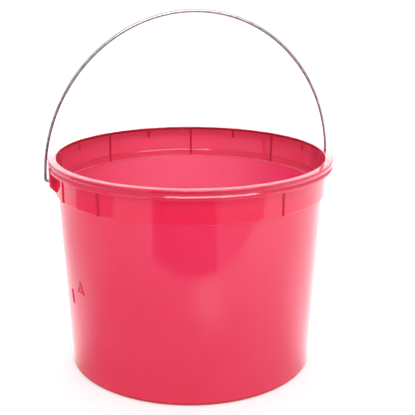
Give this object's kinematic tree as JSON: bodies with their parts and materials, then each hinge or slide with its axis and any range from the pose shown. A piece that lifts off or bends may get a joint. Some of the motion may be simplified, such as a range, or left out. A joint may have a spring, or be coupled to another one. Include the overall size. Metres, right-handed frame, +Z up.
{
  "type": "sand bucket",
  "caption": "Round tapered plastic pail with a rolled rim, a stepped and ribbed band under it, hollow ears, and a swinging steel wire bail.",
  "frame": {"origin": "centre of the base, on the surface that the pail stands on", "axes": "+Z up through the mouth; the ears and the bail's hinge axis lie along X; the bail leans a little towards -Y at rest"},
  "size_m": [0.2268, 0.22, 0.2759],
  "materials": {
    "pail_plastic": "gloss, slightly translucent",
    "bail_steel": "bright galvanised wire"
  },
  "bodies": {
    "pail": {"pail_shell": "pail_plastic"},
    "bail": {"bail_wire": "bail_steel"}
  },
  "joints": [
    {"name": "bail_swing", "type": "hinge", "parent": "pail", "child": "bail", "pos_m": [0, 0, 0.1505], "axis": [1, 0, 0], "range_deg": [-127, 119]}
  ]
}
